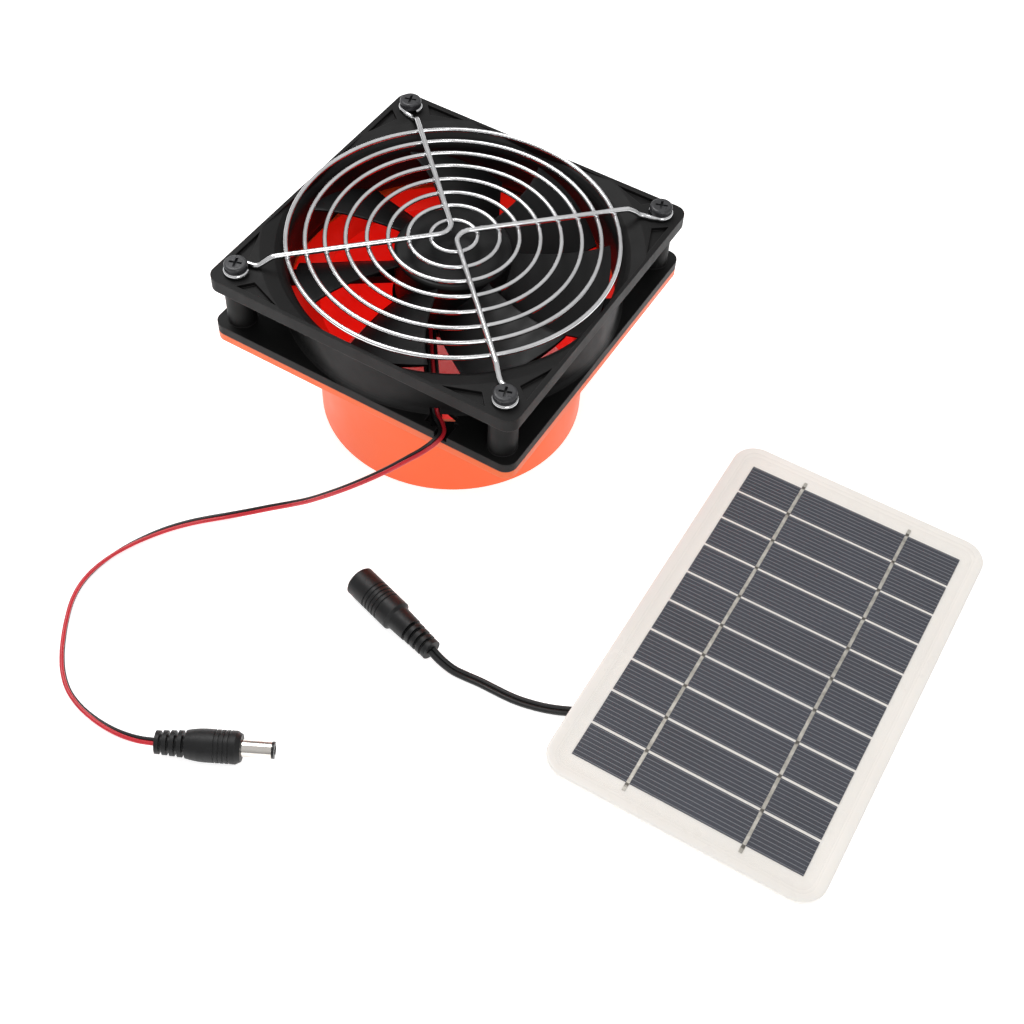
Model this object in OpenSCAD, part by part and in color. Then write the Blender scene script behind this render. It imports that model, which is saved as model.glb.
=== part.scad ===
// Solar attic fan: a 120 mm axial fan with a wire guard on a round duct adapter,
// its lead and plug, and a loose solar panel whose own lead ends in a socket.
// Sizes are in millimetres. The origin is the centre of the duct spigot's lower
// rim, and Z runs up along the fan's axis.

/* [Duct adapter] */
// Outside diameter of the spigot
spigot_d = 98; // [94:0.5:102]
// Length of the spigot below the plate
spigot_h = 46.5; // [30:0.5:80]
// Wall thickness of the spigot
spigot_wall = 2; // [1.6:0.2:3]
// Thickness of the adapter plate
plate_t = 3; // [2:0.5:5]

/* [Fan frame] */
// Side of the square fan frame
fan_side = 120; // [119:0.5:120]
// Height of the fan frame
fan_h = 25; // [25:0.5:26]
// Distance between screw holes
hole_spacing = 105; // [104:0.5:106]
// Corner radius of the flanges
corner_r = 4.5; // [3:0.5:6]
// Thickness of the upper flange
top_flange = 5; // [4:0.5:6]
// Thickness of the lower flange
bottom_flange = 3.6; // [3:0.1:4]
// Inside radius of the barrel
barrel_r = 57; // [56.5:0.1:57.2]
// Radius of the barrel's mouth at the corners
mouth_r = 66; // [64:0.5:66.5]
// Diameter of the four corner posts
post_d = 10; // [9:0.5:11]
// Diameter of the screw holes
hole_d = 4.3; // [4.2:0.1:4.6]

/* [Impeller] */
// Number of blades
blade_count = 7; // [5:1:7]
// Outside radius of the hub
hub_r = 20.5; // [20.5:0.1:21]
// Radius at the blade tips
blade_tip_r = 54.5; // [52:0.5:56]
// Angle of the first blade's leading edge at the hub
blade_phase = -73.5; // [-90:0.5:90]
// How far the leading edge leans forward at the tip, in degrees
blade_sweep = 7; // [0:1:12]
// Thickness of a blade at the middle of its chord
blade_t = 2; // [1.4:0.2:2.4]

/* [Wire guard] */
// Radii of the guard's rings
ring_radii = [8, 15.6, 22.4, 29.6, 36.8, 43.8, 50.5, 57];
// Wire diameter of the rings
ring_wire = 1.6; // [1.4:0.1:1.8]
// Wire diameter of the spokes
spoke_wire = 1.9; // [1.7:0.1:2.1]
// Height of the rings above the fan's top face
ring_lift = 2.8; // [2.4:0.1:3.2]
// Radius of the bend in each spoke near the centre
spoke_bend_r = 5.5; // [5:0.5:7]
// Wire radius of the eye under each screw head
eye_r = 3.5; // [3.4:0.1:3.8]

/* [Screws] */
// Diameter of the screw heads
head_d = 8; // [7.6:0.1:8]
// Height of the screw heads
head_h = 2.4; // [2.2:0.1:2.6]
// Length of the screws below the head
screw_l = 35; // [34:0.5:36]

/* [Solar panel] */
// Width of the panel
panel_w = 95.5; // [94:0.5:98]
// Length of the panel
panel_l = 156; // [152:0.5:160]
// Corner radius of the panel
panel_corner = 9; // [6:0.5:10]
// Number of cell strips
strip_count = 10; // [8:1:10]
// Length of a cell strip
strip_l = 79.5; // [76:0.5:80]
// Width of a cell strip
strip_w = 12.9; // [12.7:0.1:13]
// Distance from one strip to the next
strip_pitch = 13.9; // [13.6:0.1:14]
// Distance between the two bus ribbons
ribbon_spacing = 40; // [36:1:44]
// Place of the panel's centre beside the fan
panel_at = [156.4, -44.6];
// Turn of the panel on the floor, in degrees
panel_turn = 1; // [0:0.5:2]

/* [Connectors] */
// Greatest diameter of the plug's grip
plug_d = 10.6; // [10:0.2:11]
// Greatest diameter of the socket's grip
jack_d = 11; // [10.6:0.2:11.4]
// Outside diameter of the plug's barrel
barrel_d = 5.5; // [5.5:0.1:5.5]

/* [Hidden] */

// Heights of the main faces
plate_z = spigot_h;
fan_z = spigot_h + plate_t;
top_z = fan_z + fan_h;
upper_flange_z = top_z - top_flange;
round_fn = 128;
small_fn = 48;
screw_at = hole_spacing / 2;
screw_places = [[-screw_at, -screw_at], [screw_at, -screw_at], [screw_at, screw_at],
    [-screw_at, screw_at]];

// The barrel's wall, the thin walls where the square side cuts its flares, and the flares' height
side_wall = 1.3;
barrel_wall = 2.2;
flare_h = 6.5;
flare_steps = 6;

// Motor: radii from the axis and heights above the fan's lower face
shaft_r = 1.5;
bearing_r = 4;
tube_r = 5.4;
base_r = 21.5;
base_t = 2.1;
sticker_r = 17;
sticker_t = 0.3;
hub_wall = 1.5;
hub_top_z = top_z - 2;
hub_skirt_z = fan_z + 4.1;
yoke_wall = 0.8;
fit_gap = 0.05;
yoke_r = hub_r - hub_wall - fit_gap;
magnet_r = yoke_r - yoke_wall - fit_gap;
magnet_t = 2.2;
core_r = magnet_r - magnet_t - 0.6;
core_z = fan_z + 7.6;
core_h = 7;
arm_w = 3;
tube_top_z = fan_z + 17;
board_z = fan_z + 2.7;
board_t = 1.2;
boss_r = 3.4;
boss_z = tube_top_z + 1;

// Blades: place of the root inside the hub wall, and the chord's angle and drop
blade_root_r = hub_r - 1.1;
blade_top_z = top_z - 4.2;
blade_rows = 4;
blade_columns = 6;
blade_camber = 1.1;
blade_edge_t = 0.9;

// Struts that carry the motor, and the channel for the lead in one of them
strut_w = 5;
strut_h = 3.2;
strut_start = [2.6, -20];
strut_end = [30, -57.6];
channel_w = 3.4;
channel_floor_z = fan_z + 1.3;
notch_x = [30.8, 35.8];
notch_depth = 8;
outlet_x = [25.5, 34.2];
outlet_y = [-57.4, -50.5];
outlet_h = 2.6;

// Wire guard heights
ring_z = top_z + ring_lift;
spoke_z = ring_z + ring_wire / 2 + spoke_wire / 2 - 0.1;
eye_z = top_z + spoke_wire / 2;
head_z = top_z + spoke_wire;
eye_out = screw_at * sqrt(2);

// Panel layers
panel_z = 4.5;
board_layer = 1.6;
cell_t = 0.2;
ribbon_t = 0.1;
cover_t = 0.9;
ribbon_w = 1.8;
ribbon_over = 3;
cell_block = (strip_count - 1) * strip_pitch + strip_w;
ribbon_l = cell_block + 2 * ribbon_over;
pocket_depth = 0.4;
box_w = 44;
box_l = 28;
box_wall = 1.5;

// Connectors: place of each one's cable end or mouth, direction, and lengths
plug_at = [5.5, -180.5];
plug_angle = 28;
plug_axis_z = plug_d / 2;
plug_l = 27;
barrel_in = 6;
barrel_root_d = 5;
barrel_out = 9.5;
jack_at = [23.5, -95.3];
jack_angle = -16;
jack_axis_z = jack_d / 2;
jack_l = 37.5;
jack_head_l = 20.5;
jack_bore_r = 3.1;
jack_bore_l = 10;

// Leads: each is a flat pair of wires, wider than it is high
fan_lead_w = 2.8;
fan_lead_h = 1.4;
panel_lead_w = 3.6;
panel_lead_h = 1.8;
// From the circuit board along the strut's channel to the notch in the lower flange
inner_route = [[1.6, -18.5, 52.5], [3, -20.6, 52.1], [5, -23.3, 51.8], [7.4, -26.6, 51.7],
    [9.5, -29.5, 51.7], [12.5, -33.6, 51.7], [16, -38.4, 51.7], [19.5, -43.2, 51.7], [23, -48, 51.7]];
// From the notch down to the floor, round the loop and into the plug's grip
fan_route = [[23, -48, 51.7], [26.4, -52.2, 51.8], [30.4, -55.2, 52.1], [33, -58.6, 52.4],
    [32.8, -62.6, 51.8], [30.6, -66.6, 49.8], [26.8, -70.4, 46.6], [21.6, -74, 41.6],
    [15, -77.4, 35.4], [8.2, -80.2, 29.2], [1.4, -82.2, 23], [-5.2, -83.8, 17.2], [-12.1, -85.4, 12],
    [-19.2, -87.8, 7.6], [-26.2, -91.2, 4], [-32.4, -95.2, 1.8], [-37.7, -99.6, 0.9],
    [-42.4, -104.6, 0.7], [-46.8, -110.6, 0.7], [-50.4, -117, 0.7], [-53.4, -123.8, 0.7],
    [-55.6, -131, 0.7], [-56.7, -138.4, 0.7], [-56.3, -145.6, 0.7], [-54.2, -152.4, 0.7],
    [-50.8, -158.8, 0.7], [-47.2, -164.4, 0.7], [-43, -170, 0.7], [-38, -175.2, 0.7],
    [-32, -179.4, 0.7], [-25.2, -181.9, 0.7], [-18.4, -183, 0.8], [-12, -183.3, 1.3],
    [-5.8, -183, 2.6], [0, -182.2, 4.1], [5.5, -180.5, 5.3]];
// From the socket's grip along the floor and under the panel to its junction box
panel_route = [[59.55, -105.64, 5.5], [64, -106.4, 3.9], [68.5, -106.3, 2], [73, -105.6, 1.1],
    [78, -105, 0.9], [83, -104.8, 0.9], [88, -104.6, 0.9], [92.5, -104.1, 0.9], [97, -103.1, 0.9],
    [101, -101.9, 0.9], [105, -100.3, 0.9], [109, -98.3, 0.9], [114, -95.7, 0.9], [119, -92.9, 0.9],
    [124, -89.9, 0.9], [129, -86.7, 0.9], [134, -83.3, 0.9], [139, -79.7, 0.9], [144, -75.8, 0.9],
    [148.5, -71.6, 1.1], [152, -67.2, 1.5], [154.4, -62.8, 2], [155.2, -58.6, 2.2]];

// ---------------------------------------------------------------- shared shapes

// A rectangle with round corners, centred on the origin
module rounded_rect(width, length, radius) {
    square([width - 2 * radius, length], center = true);
    square([width, length - 2 * radius], center = true);
    for (x = [-1, 1], y = [-1, 1])
        translate([x * (width / 2 - radius), y * (length / 2 - radius)])
            circle(r = radius, $fn = small_fn);
}

// A solid through a list of rings of points, each ring going round the same way
module loft(rings) {
    count = len(rings[0]);
    last = len(rings) - 1;
    points = [for (one = rings) each one];
    walls = [for (i = [0 : last - 1], k = [0 : count - 1], half = [0, 1])
        let (a = i * count + k, b = i * count + (k + 1) % count)
        half == 0 ? [a, b, b + count] : [a, b + count, a + count]];
    first_end = [for (k = [0 : count / 2 - 2]) [count - 1 - k, count - 2 - k, k + 1, k]];
    last_end = [for (k = [0 : count / 2 - 2])
        [k, k + 1, count - 2 - k, count - 1 - k] + last * count * [1, 1, 1, 1]];
    polyhedron(points, concat(walls, first_end, last_end));
}

function unit(v) = v / norm(v);
function heading(route, i) = unit(route[min(i + 1, len(route) - 1)] - route[max(i - 1, 0)]);
function sideways(route, i) = unit(cross(heading(route, i), [0, 0, 1]));
function upward(route, i) = cross(sideways(route, i), heading(route, i));
function ring_at(route, i, w, h, sides) = [for (k = [0 : sides - 1])
    route[i] + sideways(route, i) * w / 2 * cos(360 * k / sides)
        + upward(route, i) * h / 2 * sin(360 * k / sides)];

// A wire or flat lead of width w and height h along a route
module swept(route, w, h, sides = 8) {
    loft([for (i = [0 : len(route) - 1]) ring_at(route, i, w, h, sides)]);
}

// Lays a shape made along +Z on the floor plane, pointing at an angle
module lying(place, height, angle) {
    translate([place[0], place[1], height])
        rotate([0, 90, angle])
            children();
}

// Places a shape made round the origin at each screw
module at_screws() {
    for (p = screw_places)
        translate([p[0], p[1], 0])
            children();
}

// Places the panel's layers, which are drawn round the panel's centre
module on_panel(z) {
    translate([panel_at[0], panel_at[1], z])
        rotate([0, 0, panel_turn])
            children();
}

// A tube or disc between two heights
module tube(r_out, r_in, z_low, z_high, fn = round_fn) {
    translate([0, 0, z_low])
        difference() {
            cylinder(r = r_out, h = z_high - z_low, $fn = fn);
            translate([0, 0, -1])
                cylinder(r = r_in, h = z_high - z_low + 2, $fn = fn);
        }
}

// ---------------------------------------------------------------- duct adapter

module duct_adapter() {
    bore_r = spigot_d / 2 - spigot_wall;
    color([1, 0.42, 0.25])
        difference() {
            union() {
                translate([0, 0, plate_z])
                    linear_extrude(plate_t)
                        rounded_rect(fan_side, fan_side, corner_r);
                cylinder(d = spigot_d, h = plate_z + 0.5, $fn = round_fn);
            }
            translate([0, 0, -1])
                cylinder(r = bore_r, h = fan_z + 2, $fn = round_fn);
            at_screws()
                translate([0, 0, plate_z - 1])
                    cylinder(d = hole_d, h = plate_t + 2, $fn = small_fn);
        }
}

// ---------------------------------------------------------------- fan frame

// How far a flare has opened, from 0 at the barrel to 1 at its mouth
function flare(t) = 1 - sqrt(1 - t * t);
// Points of the barrel's wall from its foot up, for a throat and a mouth radius
function wall_points(throat, mouth) = concat(
    [for (i = [flare_steps : -1 : 0])
        let (t = i / flare_steps)
        [throat + (mouth - throat) * flare(t), fan_z + flare_h * (1 - t)]],
    [for (i = [0 : flare_steps])
        let (t = i / flare_steps)
        [throat + (mouth - throat) * flare(t), top_z - flare_h * (1 - t)]]);

module barrel_solid(throat, mouth, half_side) {
    intersection() {
        rotate_extrude($fn = round_fn)
            polygon(concat([[0, fan_z]], wall_points(throat, mouth), [[0, top_z]]));
        translate([-half_side, -half_side, fan_z - 1])
            cube([2 * half_side, 2 * half_side, fan_h + 2]);
    }
}

// Shallow three-cornered pockets beside each screw in the upper flange
module corner_pockets() {
    depth = 1.4;
    outline = [[32, 58], [48.5, 58], [44.5, 53.2]];
    for (turn = [0 : 90 : 270], flip = [0, 1])
        rotate([0, 0, turn])
            mirror([flip, -flip, 0])
                translate([0, 0, top_z - depth])
                    linear_extrude(depth + 1)
                        polygon(outline);
}

// A straight bar from the motor base to the barrel, between two heights
module strut_bar(width, z_low, z_high, overrun = 0) {
    run = strut_end - strut_start;
    translate([strut_start[0], strut_start[1], z_low])
        rotate([0, 0, atan2(run[1], run[0])])
            translate([-overrun, -width / 2, 0])
                cube([norm(run) + overrun, width, z_high - z_low]);
}

module motor_base() {
    difference() {
        union() {
            tube(base_r, bearing_r + fit_gap / 2, fan_z, fan_z + base_t);
            tube(tube_r + 1.6, bearing_r + fit_gap / 2, fan_z, board_z, small_fn);
            tube(tube_r, bearing_r + fit_gap / 2, fan_z, tube_top_z, small_fn);
        }
        translate([0, 0, fan_z - 1])
            cylinder(r = sticker_r + 0.2, h = 1 + sticker_t, $fn = round_fn);
    }
}

module fan_frame() {
    color([0.17, 0.17, 0.17]) {
        difference() {
            union() {
                difference() {
                    union() {
                        translate([0, 0, fan_z])
                            linear_extrude(bottom_flange)
                                rounded_rect(fan_side, fan_side, corner_r);
                        translate([0, 0, upper_flange_z])
                            linear_extrude(top_flange)
                                rounded_rect(fan_side, fan_side, corner_r);
                        barrel_solid(barrel_r + barrel_wall, mouth_r + 1.5, fan_side / 2);
                        at_screws()
                            translate([0, 0, fan_z + 1])
                                cylinder(d = post_d, h = fan_h - 2, $fn = small_fn);
                    }
                    barrel_solid(barrel_r, mouth_r, fan_side / 2 - side_wall);
                    corner_pockets();
                }
                for (turn = [0 : 90 : 270])
                    rotate([0, 0, turn])
                        strut_bar(strut_w, fan_z, fan_z + strut_h);
                motor_base();
            }
            strut_bar(channel_w, channel_floor_z, fan_z + 6, 5);
            translate([outlet_x[0], outlet_y[0], channel_floor_z])
                cube([outlet_x[1] - outlet_x[0], outlet_y[1] - outlet_y[0], outlet_h]);
            translate([notch_x[0], -fan_side / 2 - 1, channel_floor_z])
                cube([notch_x[1] - notch_x[0], notch_depth, outlet_h]);
            at_screws()
                translate([0, 0, fan_z - 1])
                    cylinder(d = hole_d, h = fan_h + 2, $fn = small_fn);
        }
    }
}

// ---------------------------------------------------------------- impeller

// A blade's chord angle and its drop from leading to trailing edge, at u = 0 (root) to 1 (tip)
function chord_angle(u) = 52 - 40 * u + 24 * u * u;
function chord_drop(u) = 15.4 - 2.8 * u;
function blade_point(u, t, side) =
    let (r = blade_root_r + (blade_tip_r - blade_root_r) * u,
        a = blade_sweep * u * u - chord_angle(u) * t,
        thick = blade_edge_t + (blade_t - blade_edge_t) * sin(180 * t),
        z = blade_top_z - chord_drop(u) * t + blade_camber * sin(180 * t) + side * thick / 2)
    [r * cos(a), r * sin(a), z];
function blade_ring(u) = concat(
    [for (k = [0 : blade_columns]) blade_point(u, k / blade_columns, -1)],
    [for (k = [blade_columns : -1 : 0]) blade_point(u, k / blade_columns, 1)]);

module blade() {
    loft([for (i = [0 : blade_rows]) blade_ring(i / blade_rows)]);
}

module hub_shell() {
    edge = 1.5;
    inner = hub_r - hub_wall;
    lid_z = hub_top_z - 1.6;
    arc = [for (a = [0 : 15 : 90]) [hub_r - edge + edge * cos(a), hub_top_z - edge + edge * sin(a)]];
    dimple = [[1, hub_top_z], [1, hub_top_z - 0.4], [0, hub_top_z - 0.4]];
    rotate_extrude($fn = round_fn)
        polygon(concat([[inner, hub_skirt_z], [hub_r, hub_skirt_z]], arc, dimple,
            [[0, lid_z + 0.6], [shaft_r, lid_z + 0.6], [shaft_r, boss_z], [boss_r, boss_z],
            [boss_r, lid_z], [inner, lid_z]]));
}

module impeller() {
    color([0.14, 0.14, 0.15]) {
        hub_shell();
        for (k = [0 : blade_count - 1])
            rotate([0, 0, blade_phase + 360 / blade_count * k])
                blade();
    }
}

module rotor_yoke() {
    lid_z = hub_top_z - 1.6 - fit_gap;
    skirt = hub_skirt_z + 0.6;
    color([0.62, 0.63, 0.65])
        rotate_extrude($fn = round_fn)
            polygon([[yoke_r - yoke_wall, skirt], [yoke_r, skirt], [yoke_r, lid_z],
                [boss_r + 0.3, lid_z], [boss_r + 0.3, lid_z - yoke_wall],
                [yoke_r - yoke_wall, lid_z - yoke_wall]]);
}

module rotor_magnet() {
    color([0.25, 0.23, 0.22])
        tube(magnet_r, magnet_r - magnet_t, hub_skirt_z + 1.4, core_z + core_h + 2.4);
}

module motor_shaft() {
    tip_z = fan_z + 1;
    groove_z = fan_z + 2;
    groove_h = 0.8;
    end_z = hub_top_z - 1.6 + 0.6;
    color([0.75, 0.76, 0.78])
        rotate_extrude($fn = small_fn)
            polygon([[0, tip_z], [shaft_r - 0.3, tip_z], [shaft_r, tip_z + 0.3], [shaft_r, groove_z],
                [shaft_r - 0.4, groove_z], [shaft_r - 0.4, groove_z + groove_h],
                [shaft_r, groove_z + groove_h], [shaft_r, end_z], [0, end_z]]);
}

module shaft_clip() {
    clip_z = fan_z + 2.1;
    color([0.9, 0.9, 0.88])
        difference() {
            tube(bearing_r - 0.8, shaft_r - 0.35, clip_z, clip_z + 0.6, small_fn);
            translate([0, -0.5, clip_z - 1])
                cube([bearing_r, 1, 3]);
        }
}

module thrust_washer() {
    color([0.85, 0.83, 0.75])
        tube(bearing_r - 0.2, shaft_r + 0.1, fan_z + 3, fan_z + 3.5, small_fn);
}

module sleeve_bearing() {
    color([0.72, 0.55, 0.3])
        tube(bearing_r, shaft_r + 0.03, fan_z + 3.6, tube_top_z - 1.4, small_fn);
}

module oil_seal() {
    color([0.1, 0.1, 0.1])
        tube(bearing_r - 0.05, shaft_r + 0.1, tube_top_z - 1.2, tube_top_z - 0.2, small_fn);
}

// ---------------------------------------------------------------- stator

// A ring round the bearing tube, four arms and four pole shoes
module stator_outline(arm, shoe_r) {
    shoe_in = core_r - 2.4;
    difference() {
        union() {
            circle(r = tube_r + 2.6, $fn = small_fn);
            for (turn = [45 : 90 : 315])
                rotate(turn)
                    translate([0, -arm / 2])
                        square([shoe_in + 0.6, arm]);
            intersection() {
                difference() {
                    circle(r = shoe_r, $fn = round_fn);
                    circle(r = shoe_in, $fn = round_fn);
                }
                for (turn = [45 : 90 : 315])
                    rotate(turn)
                        polygon([[0, 0], [22, -14], [22, 14]]);
            }
        }
        circle(r = tube_r + fit_gap, $fn = small_fn);
    }
}

module stator_core() {
    color([0.5, 0.5, 0.53])
        translate([0, 0, core_z])
            linear_extrude(core_h)
                stator_outline(arm_w, core_r);
}

module stator_insulators() {
    sheet = 0.6;
    color([0.9, 0.88, 0.8])
        for (z = [core_z - sheet, core_z + core_h])
            translate([0, 0, z])
                linear_extrude(sheet)
                    stator_outline(arm_w, core_r - 0.5);
}

module stator_coils() {
    gap = 0.1;
    build = 1.6;
    inner_h = core_h + 1.2 + 2 * gap;
    inner_w = arm_w + 2 * gap;
    start = tube_r + 3;
    run = core_r - 2.8 - start;
    color([0.75, 0.36, 0.16])
        for (turn = [45 : 90 : 315])
            rotate([0, 0, turn])
                translate([start, 0, core_z + core_h / 2])
                    difference() {
                        translate([0, -inner_w / 2 - build, -inner_h / 2 - build / 2])
                            cube([run, inner_w + 2 * build, inner_h + build]);
                        translate([-1, -inner_w / 2, -inner_h / 2])
                            cube([run + 2, inner_w, inner_h]);
                    }
}

module circuit_board() {
    color([0.1, 0.42, 0.22])
        tube(magnet_r - 0.6, tube_r + fit_gap, board_z, board_z + board_t);
}

// Driver chip, position sensor and two capacitors on top of the board
module board_parts() {
    top = board_z + board_t;
    color([0.12, 0.12, 0.13]) {
        translate([-14.5, -2.5, top])
            cube([4, 5, 1.4]);
        translate([-2, 11.2, top])
            cube([4, 3, 1.2]);
        translate([11.5, 5, top])
            cylinder(r = 1.3, h = 1.3, $fn = small_fn);
        translate([-9, -11, top])
            cylinder(r = 1.3, h = 1.3, $fn = small_fn);
    }
}

module base_sticker() {
    color([0.8, 0.8, 0.78])
        translate([0, 0, fan_z])
            cylinder(r = sticker_r, h = sticker_t - 0.02, $fn = round_fn);
}

// ---------------------------------------------------------------- wire guard

module guard_rings() {
    color([0.82, 0.83, 0.85])
        for (r = ring_radii)
            translate([0, 0, ring_z])
                rotate_extrude($fn = round_fn)
                    translate([r, 0])
                        circle(d = ring_wire, $fn = 24);
}

// Half of a spoke along +X: from the middle of its bend out, down and round its eye
bend_centre = spoke_bend_r * sqrt(2);
half_bend = [for (a = [180 : 15 : 225])
    [bend_centre + spoke_bend_r * cos(a), spoke_bend_r * sin(a), spoke_z]];
// A point on the diagonal line of the spoke, in its own frame: out, aside, height
function on_line(out, aside, z) = let (c = cos(45))
    [(out * c + aside * c), -(out * c - aside * c), z];
step_route = [on_line(20, 0, spoke_z), on_line(40, 0, spoke_z), on_line(60.5, 0, spoke_z),
    on_line(62.5, 0, spoke_z - 0.5), on_line(64.5, 0, (spoke_z + eye_z) / 2),
    on_line(66.3, 0.2, eye_z + 0.4), on_line(68, 0.7, eye_z), on_line(70, 2, eye_z)];
eye_route = [for (a = [128 : -18 : -160])
    on_line(eye_out + eye_r * cos(a), eye_r * sin(a), eye_z)];
spoke_half_route = concat(half_bend, step_route, eye_route);
function mirrored(route) = [for (i = [len(route) - 1 : -1 : 1]) [route[i][0], -route[i][1], route[i][2]]];

module guard_spokes() {
    color([0.82, 0.83, 0.85])
        for (turn = [0, 180])
            rotate([0, 0, turn])
                swept(concat(mirrored(spoke_half_route), spoke_half_route), spoke_wire, spoke_wire);
}

module guard_screws() {
    shank_r = 1.95;
    tip_z = head_z - screw_l;
    slot_w = 0.9;
    slot_l = 4.4;
    slot_depth = 1.3;
    edge = 0.9;
    rim = [for (a = [0 : 15 : 90])
        [head_d / 2 - edge + edge * cos(a), head_z + head_h - edge + edge * sin(a)]];
    color([0.16, 0.16, 0.17])
        at_screws()
            difference() {
                rotate_extrude($fn = small_fn)
                    polygon(concat([[0, tip_z], [shank_r - 0.5, tip_z], [shank_r, tip_z + 0.5],
                        [shank_r, head_z], [head_d / 2, head_z]], rim, [[0, head_z + head_h]]));
                for (turn = [20, 110])
                    translate([0, 0, head_z + head_h - slot_depth])
                        rotate([0, 0, turn])
                            translate([-slot_l / 2, -slot_w / 2, 0])
                                cube([slot_l, slot_w, slot_depth + 1]);
            }
}

module guard_nuts() {
    across = 7;
    nut_h = 3.2;
    color([0.7, 0.71, 0.73])
        at_screws()
            translate([0, 0, plate_z - nut_h])
                difference() {
                    cylinder(d = across / cos(30), h = nut_h, $fn = 6);
                    translate([0, 0, -1])
                        cylinder(r = 2, h = nut_h + 2, $fn = small_fn);
                }
}

// ---------------------------------------------------------------- lead and plug

module lead_inner() {
    color([0.75, 0.1, 0.1])
        swept(inner_route, fan_lead_w, fan_lead_h);
}

module fan_lead() {
    color([0.7, 0.08, 0.1])
        swept(fan_route, fan_lead_w, fan_lead_h);
}

// Outline of a relief sleeve: rings of grip between narrow grooves
function relief(start, count, pitch, r0, slope, groove_r) = [for (k = [0 : count - 1])
    let (z = start + k * pitch, r = r0 + slope * k * pitch)
    each [[r, z], [r, z + pitch * 0.55], [groove_r, z + pitch * 0.55], [groove_r, z + pitch]]];

module plug_grip() {
    big = plug_d / 2;
    ribs = [for (k = [0 : 3]) let (z = 18.6 + k * 1.5)
        each [[big - 0.35, z], [big - 0.35, z + 0.6], [big, z + 0.6], [big, z + 1.5]]];
    color([0.13, 0.13, 0.13])
        lying(plug_at, plug_axis_z, plug_angle)
            difference() {
                rotate_extrude($fn = small_fn)
                    polygon(concat([[0, 0]], relief(0, 4, 2.4, 3.75, 0.07, 2.6),
                        [[4.5, 9.6], [4.9, 11.5], [big - 0.1, 13.6], [big, 15.5], [big, 18.6]], ribs,
                        [[big, 25.4], [big - 0.9, plug_l], [0, plug_l]]));
                translate([0, 0, plug_l - barrel_in])
                    cylinder(d = barrel_root_d, h = barrel_in + 1, $fn = small_fn);
            }
}

module plug_barrel() {
    color([0.75, 0.75, 0.76])
        lying(plug_at, plug_axis_z, plug_angle) {
            tube(barrel_root_d / 2, 2.2, plug_l - barrel_in, plug_l + 0.1, small_fn);
            tube(barrel_d / 2, 2.2, plug_l, plug_l + barrel_out, small_fn);
        }
}

module plug_insulator() {
    color([0.08, 0.08, 0.08])
        lying(plug_at, plug_axis_z, plug_angle) {
            tube(2.15, 1.45, plug_l - barrel_in, plug_l + barrel_out, small_fn);
            tube(barrel_d / 2, 1.45, plug_l + barrel_out, plug_l + barrel_out + 0.9, small_fn);
        }
}

module plug_contact() {
    color([0.8, 0.68, 0.4])
        lying(plug_at, plug_axis_z, plug_angle)
            tube(1.4, 1.05, plug_l - barrel_in, plug_l + barrel_out, small_fn);
}

// ---------------------------------------------------------------- socket and panel lead

module jack_grip() {
    big = jack_d / 2;
    ribs = [for (k = [0 : 4]) let (z = 8 + k * 1.6)
        each [[big, z], [big - 0.35, z], [big - 0.35, z + 0.6], [big, z + 0.6]]];
    tail = [for (k = [3 : -1 : 0])
        let (z = jack_l - 2.6 * (k + 1), r = 3.65 + 0.12 * k)
        each [[2.8, z], [2.8, z + 1.1], [r, z + 1.1], [r, z + 2.6]]];
    color([0.14, 0.14, 0.14])
        lying(jack_at, jack_axis_z, jack_angle)
            difference() {
                rotate_extrude($fn = small_fn)
                    polygon(concat([[0, 0], [big - 0.5, 0], [big, 0.5]], ribs,
                        [[big, jack_head_l - 1], [big - 1, jack_head_l], [4.4, jack_head_l + 1.4],
                        [4.2, jack_l - 2.6 * 4]], tail, [[0, jack_l]]));
                translate([0, 0, -1])
                    cylinder(r = jack_bore_r + 0.3, h = jack_bore_l + 3, $fn = small_fn);
            }
}

module jack_liner() {
    color([0.7, 0.7, 0.72])
        lying(jack_at, jack_axis_z, jack_angle)
            tube(jack_bore_r + 0.25, jack_bore_r, 0.8, jack_bore_l + 1.9, small_fn);
}

module jack_pin() {
    pin_r = 1;
    foot = jack_bore_l + 2;
    color([0.78, 0.78, 0.8])
        lying(jack_at, jack_axis_z, jack_angle)
            rotate_extrude($fn = small_fn)
                polygon([[0, 1.2], [pin_r - 0.4, 1.2], [pin_r, 2], [pin_r, foot - 1], [2.9, foot - 1],
                    [2.9, foot], [0, foot]]);
}

module panel_lead() {
    color([0.1, 0.1, 0.1])
        swept(panel_route, panel_lead_w, panel_lead_h);
}

// ---------------------------------------------------------------- solar panel

module panel_board() {
    color([0.93, 0.91, 0.88])
        on_panel(panel_z)
            linear_extrude(board_layer)
                rounded_rect(panel_w, panel_l, panel_corner);
}

module solar_cells() {
    color([0.2, 0.22, 0.29])
        on_panel(panel_z + board_layer)
            for (k = [0 : strip_count - 1])
                translate([-strip_l / 2, -cell_block / 2 + k * strip_pitch, 0])
                    cube([strip_l, strip_w, cell_t]);
}

module bus_ribbons() {
    color([0.8, 0.78, 0.7])
        on_panel(panel_z + board_layer + cell_t)
            for (x = [-ribbon_spacing / 2, ribbon_spacing / 2])
                translate([x - ribbon_w / 2, -ribbon_l / 2, 0])
                    cube([ribbon_w, ribbon_l, ribbon_t]);
}

module panel_cover() {
    rim = 1.5;
    color([0.92, 0.92, 0.9, 0.35])
        on_panel(panel_z + board_layer)
            difference() {
                linear_extrude(cover_t)
                    rounded_rect(panel_w, panel_l, panel_corner);
                translate([-strip_l / 2 - rim, -ribbon_l / 2 - rim, -1])
                    cube([strip_l + 2 * rim, ribbon_l + 2 * rim, 1 + pocket_depth]);
            }
}

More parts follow.
